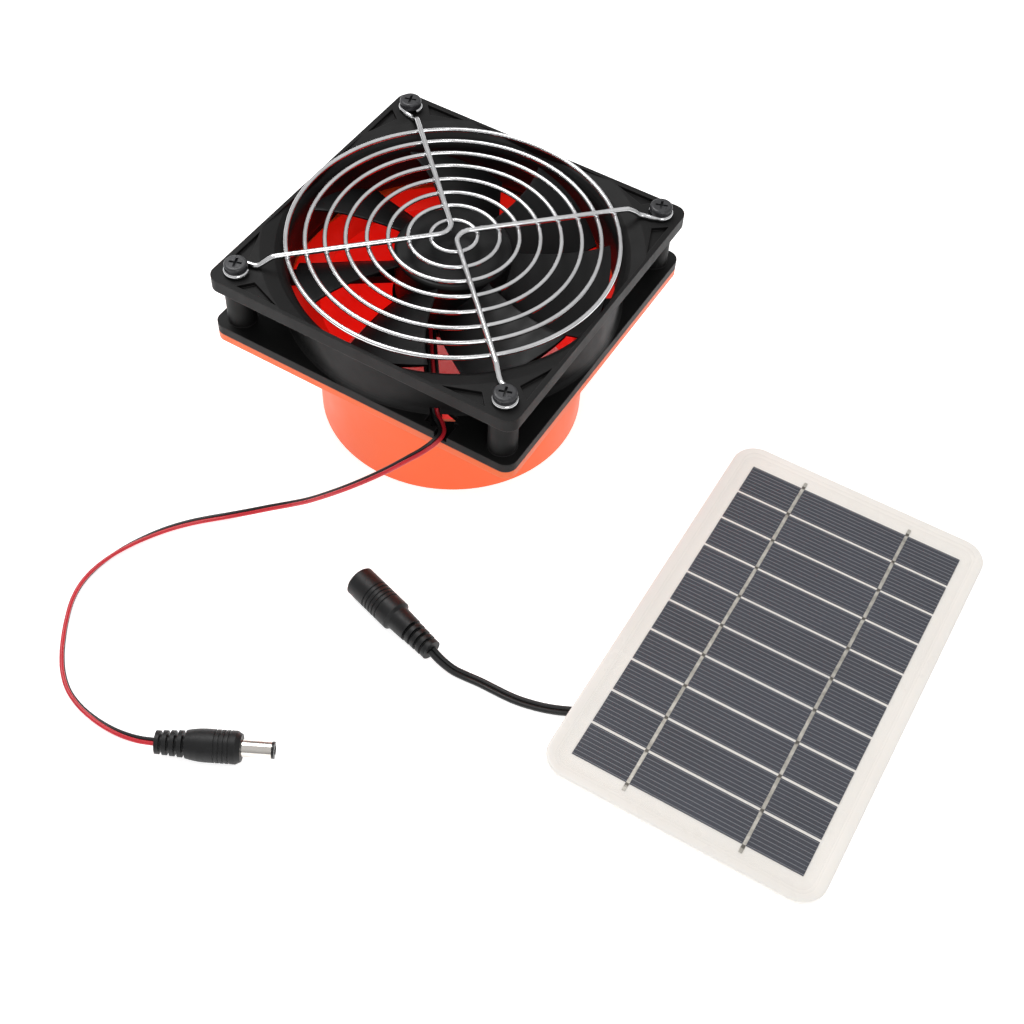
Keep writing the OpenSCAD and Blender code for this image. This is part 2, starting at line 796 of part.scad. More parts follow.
module junction_box() {
    color([0.13, 0.13, 0.14])
        difference() {
            on_panel(0)
                linear_extrude(panel_z)
                    rounded_rect(box_w, box_l, 3);
            on_panel(1.2)
                linear_extrude(panel_z)
                    rounded_rect(box_w - 2 * box_wall, box_l - 2 * box_wall, 1.5);
        }
}

module solder_tabs() {
    color([0.78, 0.76, 0.7])
        on_panel(panel_z - 0.3)
            for (x = [-ribbon_spacing / 4, ribbon_spacing / 4])
                translate([x - 2, -3, 0])
                    cube([4, 6, 0.3]);
}

module blocking_diode() {
    color([0.15, 0.15, 0.15])
        on_panel(2.8)
            rotate([0, 90, 0])
                translate([0, 0, -2.6])
                    cylinder(r = 1.35, h = 5.2, $fn = small_fn);
}

duct_adapter();
fan_frame();
impeller();
rotor_yoke();
rotor_magnet();
motor_shaft();
shaft_clip();
thrust_washer();
oil_seal();
sleeve_bearing();
stator_core();
stator_insulators();
stator_coils();
circuit_board();
board_parts();
base_sticker();
guard_rings();
guard_spokes();
guard_screws();
guard_nuts();
lead_inner();
fan_lead();
plug_grip();
plug_barrel();
plug_insulator();
plug_contact();
jack_grip();
jack_liner();
jack_pin();
panel_lead();
panel_board();
solar_cells();
bus_ribbons();
panel_cover();
junction_box();
solder_tabs();
blocking_diode();
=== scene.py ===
"""Looks of the solar attic fan: leads, finer moving parts, materials, floor and light.

All sizes are in metres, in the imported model's own frame.
"""
import math
import random

import bmesh
import bpy
from mathutils import Matrix, Vector


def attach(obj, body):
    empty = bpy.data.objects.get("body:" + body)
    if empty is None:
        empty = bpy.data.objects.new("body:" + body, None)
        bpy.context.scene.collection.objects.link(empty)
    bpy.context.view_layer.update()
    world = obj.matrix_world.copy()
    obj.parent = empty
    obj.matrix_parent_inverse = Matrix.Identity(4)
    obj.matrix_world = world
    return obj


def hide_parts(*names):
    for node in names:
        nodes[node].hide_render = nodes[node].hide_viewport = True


MM = 0.001
UP = Vector((0, 0, 1))
random.seed(7)

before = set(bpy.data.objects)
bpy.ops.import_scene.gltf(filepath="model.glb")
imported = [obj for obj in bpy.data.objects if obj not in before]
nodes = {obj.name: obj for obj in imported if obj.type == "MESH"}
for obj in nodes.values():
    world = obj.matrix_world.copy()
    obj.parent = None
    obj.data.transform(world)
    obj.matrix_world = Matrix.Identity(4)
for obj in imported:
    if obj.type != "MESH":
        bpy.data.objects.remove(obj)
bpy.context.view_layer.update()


def place_object(name, data):
    obj = bpy.data.objects.new(name, data)
    bpy.context.scene.collection.objects.link(obj)
    return obj


# ------------------------------------------------------------------ camera

CAMERA_AZIMUTH = 28.09
CAMERA_ELEVATION = 52.23
CAMERA_ROLL = 3.92
CAMERA_DISTANCE = 446.85 * MM
CAMERA_TARGET = Vector((77.22, -89.03, 74.5)) * MM
CAMERA_LENS_MM = 53.07
SENSOR_WIDTH_MM = 36


def make_camera():
    """A camera turned about its own axis by the roll, looking at the target."""
    az = math.radians(CAMERA_AZIMUTH)
    el = math.radians(CAMERA_ELEVATION)
    roll = math.radians(CAMERA_ROLL)
    back = Vector((math.sin(az) * math.cos(el), -math.cos(az) * math.cos(el), math.sin(el)))
    level_right = Vector((math.cos(az), math.sin(az), 0))
    level_up = back.cross(level_right)
    right = level_right * math.cos(roll) + level_up * math.sin(roll)
    up = level_up * math.cos(roll) - level_right * math.sin(roll)
    place = CAMERA_TARGET + back * CAMERA_DISTANCE
    data = bpy.data.cameras.new("camera")
    data.lens = CAMERA_LENS_MM
    data.sensor_width = SENSOR_WIDTH_MM
    data.clip_start = 0.01
    data.clip_end = 50
    camera = place_object("camera", data)
    camera.matrix_world = Matrix((
        (right.x, up.x, back.x, place.x),
        (right.y, up.y, back.y, place.y),
        (right.z, up.z, back.z, place.z),
        (0, 0, 0, 1),
    ))
    bpy.context.scene.camera = camera


make_camera()


# ------------------------------------------------------------------ mesh helpers

class Shape:
    """Collects points and faces, then becomes one named piece."""

    def __init__(self):
        self.points = []
        self.faces = []
        self.kinds = []

    def rings(self, rings, kind=0, closed=False):
        """Joins rings of equal count into a skin, capped at both ends unless it closes on itself."""
        start = len(self.points)
        count = len(rings[0])
        for ring in rings:
            self.points.extend(ring)
        steps = len(rings) if closed else len(rings) - 1
        for i in range(steps):
            here = start + i * count
            after = start + ((i + 1) % len(rings)) * count
            for k in range(count):
                n = (k + 1) % count
                self.faces.append((here + k, here + n, after + n, after + k))
                self.kinds.append(kind)
        if not closed:
            last = start + (len(rings) - 1) * count
            self.strip_cap(start, count, True, kind)
            self.strip_cap(last, count, False, kind)

    def strip_cap(self, first, count, flip, kind):
        """Fills an end ring with a strip of quads between its two halves."""
        for k in range(count // 2 - 1):
            quad = [first + k, first + k + 1, first + count - 2 - k, first + count - 1 - k]
            self.faces.append(tuple(reversed(quad)) if flip else tuple(quad))
            self.kinds.append(kind)

    def revolve(self, profile, segments):
        """Turns a closed profile of (radius, height) points round Z; radii stay above zero."""
        rings = []
        for i in range(segments):
            a = 2 * math.pi * i / segments
            rings.append([Vector((r * math.cos(a), r * math.sin(a), z)) for r, z in profile])
        self.rings(rings, closed=True)

    def move(self, matrix, first=0):
        for i in range(first, len(self.points)):
            self.points[i] = matrix @ self.points[i]

    def piece(self, name, materials, body, replaced=(), sharp=35):
        """The finished object, riding on its body and standing in for the nodes it replaces."""
        mesh = bpy.data.meshes.new(name)
        mesh.from_pydata([tuple(p) for p in self.points], [], self.faces)
        for material in materials:
            mesh.materials.append(material)
        for polygon, kind in zip(mesh.polygons, self.kinds):
            polygon.material_index = kind
            polygon.use_smooth = True
        outward = bmesh.new()
        outward.from_mesh(mesh)
        bmesh.ops.recalc_face_normals(outward, faces=outward.faces)
        outward.to_mesh(mesh)
        outward.free()
        mesh.set_sharp_from_angle(angle=math.radians(sharp))
        obj = place_object(name, mesh)
        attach(obj, body)
        if replaced:
            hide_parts(*replaced)
        return obj


def refine(points, steps):
    """A smooth curve through the points, with more points between them."""
    points = [Vector(p) for p in points]
    ends = [points[0] * 2 - points[1]] + points + [points[-1] * 2 - points[-2]]
    out = []
    for i in range(len(points) - 1):
        a, b, c, d = ends[i:i + 4]
        for s in range(steps):
            t = s / steps
            out.append(0.5 * ((2 * b) + (c - a) * t + (2 * a - 5 * b + 4 * c - d) * t * t
                              + (3 * b - a - 3 * c + d) * t * t * t))
    out.append(points[-1])
    return out


def heading(path, i):
    return (path[min(i + 1, len(path) - 1)] - path[max(i - 1, 0)]).normalized()


def tube_rings(path, radius, sides, offset=None):
    """Rings of a round wire along a path; offset(i, side, up) moves its centre aside."""
    rings = []
    for i, p in enumerate(path):
        h = heading(path, i)
        side = h.cross(UP).normalized()
        up = side.cross(h)
        centre = p + (offset(i, side, up) if offset else Vector())
        ring = []
        for k in range(sides):
            a = 2 * math.pi * k / sides
            ring.append(centre + side * radius * math.cos(a) + up * radius * math.sin(a))
        rings.append(ring)
    return rings


# ------------------------------------------------------------------ material helpers

# How far a rounded normal agrees with the flat one: at a full edge, and where a face counts as flat.
FULL_EDGE_DOT = 0.72
FLAT_DOT = 0.995


class Nodes:
    """Short names for building one material's node tree."""

    def __init__(self, name):
        self.material = bpy.data.materials.new(name)
        self.material.use_nodes = True
        self.tree = self.material.node_tree
        self.tree.nodes.clear()
        self.out = self.add("ShaderNodeOutputMaterial")
        self.shader = self.add("ShaderNodeBsdfPrincipled")
        self.link(self.shader.outputs[0], self.out.inputs[0])
        self.where = self.add("ShaderNodeTexCoord").outputs["Object"]

    def add(self, kind, **settings):
        node = self.tree.nodes.new(kind)
        for key, value in settings.items():
            setattr(node, key, value)
        return node

    def link(self, a, b):
        self.tree.links.new(a, b)

    def set(self, **values):
        for key, value in values.items():
            self.shader.inputs[key.replace("_", " ")].default_value = value

    def mapped(self, scale):
        node = self.add("ShaderNodeMapping")
        node.inputs["Scale"].default_value = scale
        self.link(self.where, node.inputs["Vector"])
        return node.outputs[0]

    def noise(self, scale, detail=3, vector=None):
        node = self.add("ShaderNodeTexNoise")
        node.inputs["Scale"].default_value = scale
        node.inputs["Detail"].default_value = detail
        self.link(vector or self.where, node.inputs["Vector"])
        return node.outputs[0]

    def math(self, operation, a, b=0.0):
        node = self.add("ShaderNodeMath", operation=operation)
        for socket, value in ((node.inputs[0], a), (node.inputs[1], b)):
            if isinstance(value, (int, float)):
                socket.default_value = value
            else:
                self.link(value, socket)
        return node.outputs[0]

    def spread(self, value, low, high, from_low=0.3, from_high=0.7):
        """Maps a value, by default a noise, to the span from low to high."""
        node = self.add("ShaderNodeMapRange")
        for key, number in (("From Min", from_low), ("From Max", from_high),
                            ("To Min", low), ("To Max", high)):
            node.inputs[key].default_value = number
        self.link(value, node.inputs["Value"])
        return node.outputs[0]

    def mix(self, amount, a, b):
        node = self.add("ShaderNodeMix", data_type="RGBA")
        for socket, value in ((node.inputs[0], amount), (node.inputs[6], a), (node.inputs[7], b)):
            if isinstance(value, (int, float)):
                socket.default_value = value
            elif isinstance(value, tuple):
                socket.default_value = (*value, 1)
            else:
                self.link(value, socket)
        return node.outputs[2]

    def bump(self, height, strength, distance, normal=None):
        node = self.add("ShaderNodeBump")
        node.inputs["Strength"].default_value = strength
        node.inputs["Distance"].default_value = distance
        self.link(height, node.inputs["Height"])
        if normal:
            self.link(normal, node.inputs["Normal"])
        return node.outputs[0]

    def split(self, vector):
        node = self.add("ShaderNodeSeparateXYZ")
        self.link(vector, node.inputs[0])
        return node.outputs

    def radius_and_height(self):
        """Distance from the fan's axis, and height above the floor."""
        x, y, z = self.split(self.where)
        square = self.math("ADD", self.math("MULTIPLY", x, x), self.math("MULTIPLY", y, y))
        return self.math("SQRT", square), z

    def colour(self, value):
        self.link(value, self.shader.inputs["Base Color"])

    def roughness(self, value):
        self.link(value, self.shader.inputs["Roughness"])

    def normal(self, value):
        self.link(value, self.shader.inputs["Normal"])

    def rounded(self, radius):
        node = self.add("ShaderNodeBevel", samples=4)
        node.inputs["Radius"].default_value = radius
        return node.outputs[0]

    def edge(self, bevel, strength):
        """How much painted edge highlight a point gets, from 0 on a flat face to the given strength at
        the edge itself.
        """
        flat = self.add("ShaderNodeNewGeometry").outputs["Normal"]
        dot = self.add("ShaderNodeVectorMath", operation="DOT_PRODUCT")
        self.link(bevel, dot.inputs[0])
        self.link(flat, dot.inputs[1])
        return self.spread(dot.outputs["Value"], strength, 0, FULL_EDGE_DOT, FLAT_DOT)


def shade(colour, factor):
    """The colour made darker or brighter, never above full."""
    return tuple(min(1, c * factor) for c in colour)


def surface(name, base, rough, spec=0.5, metallic=0.0, cloud=0.12, cloud_scale=60,
            rough_spread=0.05, grain_scale=1500, grain=0.05 * MM, grain_strength=0.25,
            edge=0.0, edge_highlight_colour=None, edge_radius=0.35 * MM, stretch=None, **extra):
    """A general surface: cloudy colour, uneven gloss, fine grain, rounded edges, and a painted
    highlight that makes the edges paler.
    """
    n = Nodes(name)
    n.set(Metallic=metallic, Specular_IOR_Level=spec, **extra)
    vector = n.mapped(stretch) if stretch else None
    clouds = n.noise(cloud_scale, 4, vector)
    colour = n.mix(n.spread(clouds, 0, 1), shade(base, 1 - cloud), shade(base, 1 + cloud))
    bevel = n.rounded(edge_radius)
    # Painted highlight: the edges are made paler in colour, as if catching the light.
    if edge:
        colour = n.mix(n.edge(bevel, edge), colour, edge_highlight_colour or shade(base, 2))
    n.colour(colour)
    fine = n.noise(grain_scale, 2, vector)
    smears = n.noise(cloud_scale * 3.1, 3, vector)
    n.roughness(n.spread(smears, rough - rough_spread, rough + rough_spread))
    n.normal(n.bump(fine, grain_strength, grain, bevel))
    return n


# ------------------------------------------------------------------ materials

# The edge highlight amounts and colours below paint a highlight: edges made paler where light would
# catch them.
orange = surface("orange_plastic", (1.0, 0.165, 0.034), 0.38, spec=0.45, cloud=0.04, cloud_scale=30,
                 grain_scale=900, grain_strength=0.12, edge=0.35, edge_highlight_colour=(1.0, 0.3, 0.14),
                 edge_radius=0.5 * MM)
TRANSLUCENT_SHARE = 0.14
glow = orange.add("ShaderNodeBsdfTranslucent")
glow.inputs["Color"].default_value = (1.0, 0.12, 0.03, 1)
through = orange.add("ShaderNodeMixShader")
through.inputs[0].default_value = TRANSLUCENT_SHARE
orange.link(orange.shader.outputs[0], through.inputs[1])
orange.link(glow.outputs[0], through.inputs[2])
orange.link(through.outputs[0], orange.out.inputs[0])

DUCT_INSIDE_R = 47.8 * MM
MOUTH_INSIDE_R = 58.5 * MM
PLATE_TOP_Z = 49.4 * MM
# Painted shade: the deep red that bounced light gives the inside of the orange duct, not the plastic's
# own colour.
PAINTED_INSIDE_RED = (0.72, 0.014, 0.007)


def paint_inside_red_glow(n):
    """Painted light: the bore and the mouth get a deep red base colour and a red glow, standing in for
    light that comes through the orange wall and bounces inside the duct.
    """
    radius, z = n.radius_and_height()
    bore = n.math("LESS_THAN", radius, DUCT_INSIDE_R)
    mouth = n.math("MULTIPLY", n.math("GREATER_THAN", z, PLATE_TOP_Z),
                   n.math("LESS_THAN", radius, MOUTH_INSIDE_R))
    inside = n.math("MAXIMUM", bore, mouth)
    outer = n.shader.inputs["Base Color"].links[0].from_socket
    # Painted light: inside the duct the colour is swapped for deep red and a red glow is added, though
    # nothing there is a lamp.
    n.colour(n.mix(inside, outer, PAINTED_INSIDE_RED))
    n.set(Emission_Color=(1, 0.012, 0.006, 1))
    uneven_painted_glow = n.spread(n.noise(25), 0.27, 0.4)
    n.link(n.math("MULTIPLY", inside, uneven_painted_glow), n.shader.inputs["Emission Strength"])


paint_inside_red_glow(orange)

frame_black = surface("frame_plastic", (0.0062, 0.006, 0.006), 0.52, spec=0.2, cloud=0.25,
                      cloud_scale=45, grain_scale=2600, grain=0.04 * MM, grain_strength=0.35,
                      edge=0.55, edge_highlight_colour=(0.07, 0.065, 0.065), edge_radius=0.45 * MM)
impeller_black = surface("impeller_plastic", (0.0055, 0.0055, 0.0058), 0.42, spec=0.2, cloud=0.2,
                         cloud_scale=70, grain_scale=2200, grain=0.03 * MM, grain_strength=0.2,
                         edge=0.4, edge_highlight_colour=(0.045, 0.045, 0.047), edge_radius=0.3 * MM)
bright_wire = surface("guard_wire", (0.82, 0.82, 0.83), 0.13, metallic=1.0, cloud=0.1, cloud_scale=120,
                      rough_spread=0.06, grain_scale=1800, grain=0.02 * MM, grain_strength=0.2,
                      edge_radius=0.1 * MM)
black_screw = surface("black_screw", (0.03, 0.03, 0.033), 0.33, spec=0.5, cloud=0.3, cloud_scale=300,
                      rough_spread=0.1, edge=0.6, edge_highlight_colour=(0.11, 0.11, 0.12),
                      edge_radius=0.25 * MM)
zinc = surface("zinc_steel", (0.56, 0.57, 0.6), 0.3, metallic=1.0, cloud=0.15, cloud_scale=260,
               rough_spread=0.1)
ground_steel = surface("polished_steel", (0.68, 0.68, 0.7), 0.12, metallic=1.0, cloud=0.05,
                       stretch=(1, 1, 14))
pressed_steel = surface("pressed_steel", (0.5, 0.5, 0.52), 0.34, metallic=1.0, cloud=0.14,
                        stretch=(1, 1, 6))
ferrite = surface("ferrite", (0.055, 0.05, 0.047), 0.62, spec=0.3, cloud=0.3, cloud_scale=400)
nylon = surface("nylon", (0.78, 0.76, 0.68), 0.45, cloud=0.06, cloud_scale=200)
bronze = surface("bronze", (0.6, 0.4, 0.19), 0.42, metallic=1.0, cloud=0.25, cloud_scale=900)
seal_rubber = surface("seal_rubber", (0.012, 0.012, 0.012), 0.6, spec=0.3, cloud=0.3, cloud_scale=400)
component = surface("component_black", (0.022, 0.022, 0.024), 0.48, spec=0.35, cloud=0.2,
                    cloud_scale=500, edge=0.4)
foil = surface("sticker", (0.62, 0.62, 0.6), 0.33, metallic=0.55, cloud=0.08, cloud_scale=90,
               grain_scale=300, grain=0.08 * MM)
nickel = surface("nickel", (0.78, 0.74, 0.69), 0.12, metallic=1.0, cloud=0.06, cloud_scale=250,
                 rough_spread=0.04, grain_strength=0.08, edge_radius=0.15 * MM)
gold = surface("gold_plate", (0.8, 0.6, 0.28), 0.2, metallic=1.0, cloud=0.1, cloud_scale=400)
grip_black = surface("grip_black", (0.0095, 0.0095, 0.01), 0.46, spec=0.3, cloud=0.25,
                     cloud_scale=220, grain_scale=3200, grain_strength=0.3, edge=0.6,
                     edge_highlight_colour=(0.06, 0.06, 0.06), edge_radius=0.25 * MM)
tip_black = surface("component_tip", (0.008, 0.008, 0.008), 0.3, spec=0.45, cloud=0.2,
                    cloud_scale=500, edge=0.3)
lead_red = surface("lead_red", (0.56, 0.014, 0.026), 0.3, spec=0.5, cloud=0.1, cloud_scale=110,
                   grain_scale=1200, grain_strength=0.12, edge_radius=0.1 * MM)
lead_black = surface("lead_black", (0.012, 0.012, 0.0125), 0.34, spec=0.42, cloud=0.2,
                     cloud_scale=110, grain_scale=1200, grain_strength=0.12, edge_radius=0.1 * MM)
panel_white = surface("panel_white", (0.84, 0.81, 0.77), 0.3, spec=0.35, cloud=0.02, cloud_scale=25,
                      grain_scale=700, grain_strength=0.03, edge=0.12, edge_highlight_colour=(0.9, 0.88, 0.84),
                      edge_radius=0.3 * MM, Subsurface_Weight=0.25, Subsurface_Scale=3 * MM,
                      Subsurface_Radius=(1, 0.97, 0.9))
box_black = surface("box_black", (0.016, 0.016, 0.017), 0.5, spec=0.35, cloud=0.2, cloud_scale=120,
                    edge=0.4)
tinned = surface("ribbon_tin", (0.72, 0.69, 0.63), 0.36, metallic=0.9, cloud=0.18, cloud_scale=500)


def stacked(name, base, gap, pitch, metallic, rough):
    """Thin layers or turns of wire, one every pitch along Z."""
    n = Nodes(name)
    n.set(Metallic=metallic, Roughness=rough)
    height = n.split(n.where)["Z"]
    wave = n.math("SINE", n.math("MULTIPLY", height, 2 * math.pi / pitch))
    stripe = n.spread(wave, 0, 1, -0.7, 0.5)
    patchy = n.mix(n.spread(n.noise(300), 0, 1), shade(base, 0.85), shade(base, 1.1))
    n.colour(n.mix(stripe, gap, patchy))
    n.normal(n.bump(stripe, 0.5, 0.08 * MM))
    return n


lamination = stacked("lamination", (0.3, 0.3, 0.32), (0.08, 0.08, 0.085), 0.5 * MM, 1.0, 0.4)
copper = stacked("enamel_copper", (0.62, 0.22, 0.07), (0.16, 0.045, 0.015), 0.3 * MM, 0.9, 0.3)


def circuit_green():
    """Solder mask over paler copper tracks."""
    n = Nodes("board_green")
    n.set(Specular_IOR_Level=0.5)
    tracks = n.add("ShaderNodeTexVoronoi", feature="DISTANCE_TO_EDGE")
    tracks.inputs["Scale"].default_value = 240
    n.link(n.where, tracks.inputs["Vector"])
    line = n.spread(tracks.outputs["Distance"], 1, 0, 0.03, 0.09)
    n.colour(n.mix(line, (0.012, 0.13, 0.045), (0.03, 0.23, 0.08)))
    n.roughness(n.spread(n.noise(200), 0.24, 0.36))
    n.normal(n.bump(line, 0.3, 0.04 * MM))
    return n


board_green = circuit_green()

# The panel's own directions: its centre and turn are those of the CAD model.
PANEL_CENTRE = (156.4 * MM, -44.6 * MM)
PANEL_TURN = math.radians(1)
STRIP_COUNT = 10
STRIP_WIDTH = 12.9 * MM
STRIP_PITCH = 13.9 * MM
CELL_BLOCK = (STRIP_COUNT - 1) * STRIP_PITCH + STRIP_WIDTH
FINGER_PITCH = 1.5 * MM
FINGER_START = 0.45 * MM
FINGER_HALF = 0.06 * MM
RIBBON_SPACING = 40 * MM


def panel_axes(n):
    """Y measured from the panel's centre along its own side, and the whole turned vector."""
    move = n.add("ShaderNodeVectorMath", operation="SUBTRACT")
    n.link(n.where, move.inputs[0])
    move.inputs[1].default_value = (*PANEL_CENTRE, 0)
    turn = n.add("ShaderNodeVectorRotate", rotation_type="Z_AXIS")
    turn.inputs["Angle"].default_value = -PANEL_TURN
    n.link(move.outputs[0], turn.inputs["Vector"])
    flat = turn.outputs[0]
    return n.split(flat)["Y"], flat


def cell_surface():
    """Dark silicon with printed silver fingers along each strip and a tone for each strip."""
    n = Nodes("cell_blue")
    n.set(Specular_IOR_Level=0.12, Coat_Weight=0.15, Coat_Roughness=0.2)
    y, flat = panel_axes(n)
    from_start = n.math("ADD", y, CELL_BLOCK / 2)
    strip = n.math("FLOOR", n.math("DIVIDE", from_start, STRIP_PITCH))
    inside = n.math("SUBTRACT", from_start, n.math("MULTIPLY", strip, STRIP_PITCH))
    shifted = n.math("ADD", inside, FINGER_PITCH / 2 - FINGER_START)
    in_pitch = n.math("MODULO", shifted, FINGER_PITCH)
    away = n.math("ABSOLUTE", n.math("SUBTRACT", in_pitch, FINGER_PITCH / 2))
    finger = n.spread(away, 1, 0, FINGER_HALF * 0.8, FINGER_HALF * 1.4)
    tone = n.add("ShaderNodeTexWhiteNoise", noise_dimensions="1D")
    n.link(strip, tone.inputs["W"])
    clouds = n.noise(28, 4, flat)
    dark = n.mix(n.spread(clouds, 0, 1), (0.006, 0.009, 0.022), (0.013, 0.018, 0.037))
    toned = n.mix(n.spread(tone.outputs["Value"], 0, 0.35, 0, 1), dark, (0.02, 0.024, 0.042))
    speck = n.mix(n.spread(n.noise(2600, 2, flat), 0, 0.25), toned, (0.034, 0.04, 0.065))
    n.colour(n.mix(finger, speck, (0.26, 0.27, 0.3)))
    n.roughness(n.spread(n.noise(90, 3, flat), 0.36, 0.48))
    n.normal(n.bump(finger, 0.25, 0.03 * MM))
    return n


cell_blue = cell_surface()


def ribbon_surface():
    """Tinned ribbon, duller and darker where it crosses the gap between two strips."""
    n = Nodes("ribbon_silver")
    y, flat = panel_axes(n)
    from_start = n.math("ADD", y, CELL_BLOCK / 2 + STRIP_PITCH)
    inside = n.math("MODULO", from_start, STRIP_PITCH)
    gap = n.math("ABSOLUTE", n.math("SUBTRACT", inside, (STRIP_PITCH + STRIP_WIDTH) / 2))
    wobble = n.spread(n.noise(900, 2, flat), -0.35 * MM, 0.35 * MM)
    crossing = n.spread(n.math("ADD", gap, wobble), 1, 0, 0.5 * MM, 1.0 * MM)
    solder = n.mix(n.spread(n.noise(420, 4, flat), 0, 1), (0.34, 0.32, 0.28), (0.66, 0.63, 0.57))
    n.set(Metallic=0.75)
    n.colour(n.mix(crossing, solder, (0.09, 0.08, 0.065)))
    n.roughness(n.spread(n.noise(600, 2, flat), 0.28, 0.5))
    n.normal(n.bump(n.noise(700, 3, flat), 0.4, 0.08 * MM))
    return n


ribbon_silver = ribbon_surface()


def cover_surface():
    """A thin milky resin sheet: mostly see-through, with its own gloss and a few specks."""
    n = Nodes("clear_film")
    n.set(Specular_IOR_Level=0.4, Alpha=0.035)
    clouds = n.noise(35, 3)
    n.colour(n.mix(n.spread(clouds, 0, 1), (0.83, 0.81, 0.78), (0.88, 0.87, 0.84)))
    n.roughness(n.spread(n.noise(120, 3), 0.2, 0.32))
    n.normal(n.bump(n.noise(160, 3), 0.08, 0.05 * MM))
    return n


clear_film = cover_surface()

PAINT = {
    "duct_adapter": orange, "fan_frame": frame_black, "rotor_yoke": pressed_steel,
    "rotor_magnet": ferrite, "motor_shaft": ground_steel, "shaft_clip": nylon,
    "thrust_washer": nylon, "oil_seal": seal_rubber, "sleeve_bearing": bronze,
    "stator_core": lamination, "stator_insulators": nylon, "stator_coils": copper,
    "circuit_board": board_green, "board_parts": component, "base_sticker": foil,
    "guard_rings": bright_wire, "guard_screws": black_screw, "guard_nuts": zinc,
    "plug_grip": grip_black, "plug_barrel": nickel, "plug_insulator": tip_black,
    "plug_contact": gold, "jack_grip": grip_black, "jack_liner": nickel, "jack_pin": nickel,
    "solar_cells": cell_blue, "junction_box": box_black, "solder_tabs": tinned,
    "blocking_diode": component,
}
for node_name, look in PAINT.items():
    for material_slot in nodes[node_name].material_slots:
        material_slot.material = look.material


# ------------------------------------------------------------------ leads

WIRE_SIDES = 14
LEAD_STEPS = 7
FAN_WIRE_R = 0.7 * MM
FAN_WIRE_OFFSET = 0.68 * MM
PANEL_WIRE_R = 0.9 * MM
PANEL_WIRE_OFFSET = 0.87 * MM
LYING_BELOW_MM = 2

INNER_ROUTE = [
    (1.6, -18.5, 52.5), (3, -20.6, 52.1), (5, -23.3, 51.8), (7.4, -26.6, 51.7), (9.5, -29.5, 51.7),
    (12.5, -33.6, 51.7), (16, -38.4, 51.7), (19.5, -43.2, 51.7), (23, -48, 51.7)]
# Each point of the lead: x, y, z, and how far the pair has rolled there, in degrees.
FAN_ROUTE = [
    (23, -48, 51.7, 0), (26.4, -52.2, 51.8, 0), (30.4, -55.2, 52.1, 0), (33, -58.6, 52.4, 0),
    (32.8, -62.6, 51.8, 0), (30.6, -66.6, 49.8, 0), (26.8, -70.4, 46.6, 0), (21.6, -74, 41.6, 0),
    (15, -77.4, 35.4, 0), (8.2, -80.2, 29.2, 0), (1.4, -82.2, 23, 0), (-5.2, -83.8, 17.2, 0),
    (-12.1, -85.4, 12, 0), (-19.2, -87.8, 7.6, 0), (-26.2, -91.2, 4, 0), (-32.4, -95.2, 1.8, 0),
    (-37.7, -99.6, 0.9, 2), (-42.4, -104.6, 0.7, 6), (-46.8, -110.6, 0.7, 13),
    (-50.4, -117, 0.7, 25), (-53.4, -123.8, 0.7, 40), (-55.6, -131, 0.7, 56),
    (-56.7, -138.4, 0.7, 68), (-56.3, -145.6, 0.7, 75), (-54.2, -152.4, 0.7, 79),
    (-50.8, -158.8, 0.7, 83), (-47.2, -164.4, 0.7, 88), (-43, -170, 0.7, 93),
    (-38, -175.2, 0.7, 101), (-32, -179.4, 0.7, 112), (-25.2, -181.9, 0.7, 125),
    (-18.4, -183, 0.8, 138), (-12, -183.3, 1.3, 151), (-5.8, -183, 2.6, 164), (0, -182.2, 4.1, 174),
    (5.5, -180.5, 5.3, 180)]
PANEL_ROUTE = [
    (59.55, -105.64, 5.5), (64, -106.4, 3.9), (68.5, -106.3, 2), (73, -105.6, 1.1),
    (78, -105, 0.9), (83, -104.8, 0.9), (88, -104.6, 0.9), (92.5, -104.1, 0.9), (97, -103.1, 0.9),
    (101, -101.9, 0.9), (105, -100.3, 0.9), (109, -98.3, 0.9), (114, -95.7, 0.9),
    (119, -92.9, 0.9), (124, -89.9, 0.9), (129, -86.7, 0.9), (134, -83.3, 0.9), (139, -79.7, 0.9),
    (144, -75.8, 0.9), (148.5, -71.6, 1.1), (152, -67.2, 1.5), (154.4, -62.8, 2),
    (155.2, -58.6, 2.2)]


def twin_lead(name, route, wire_r, offset, kinds, materials, body, replaced):
    """Two round wires side by side along a route; the fourth number of a point is the roll.

    Where the pair lies on the floor, rolling it on edge lifts its centre line.
    """
    rolls = [math.radians(p[3]) if len(p) > 3 else 0.0 for p in route]
    points = []
    for p, roll in zip(route, rolls):
        lift = offset * abs(math.sin(roll)) if p[2] < LYING_BELOW_MM else 0
        points.append(Vector(p[:3]) * MM + Vector((0, 0, lift)))
    path = refine(points, LEAD_STEPS)
    turned = [q.x for q in refine([(roll, 0, 0) for roll in rolls], LEAD_STEPS)]
    shape = Shape()
    for sign, kind in zip((1, -1), kinds):
        def aside(i, side, up, sign=sign):
            return sign * offset * (side * math.cos(turned[i]) - up * math.sin(turned[i]))
        shape.rings(tube_rings(path, wire_r, WIRE_SIDES, aside), kind)
    obj = shape.piece(name, materials, body, replaced, sharp=60)
    return obj, [tuple(p) for p in path]


fan_cord, fan_path = twin_lead(
    "fan_twin_lead", FAN_ROUTE, FAN_WIRE_R, FAN_WIRE_OFFSET, (0, 1),
    [lead_black.material, lead_red.material], "fan", ["fan_lead"])
panel_cord, panel_path = twin_lead(
    "panel_twin_lead", PANEL_ROUTE, PANEL_WIRE_R, PANEL_WIRE_OFFSET, (0, 0),
    [lead_black.material], "panel", ["panel_lead"])
twin_lead("inner_twin_lead", INNER_ROUTE, FAN_WIRE_R, FAN_WIRE_OFFSET, (0, 1),
          [lead_black.material, lead_red.material], "fan", ["lead_inner"])


# ------------------------------------------------------------------ impeller

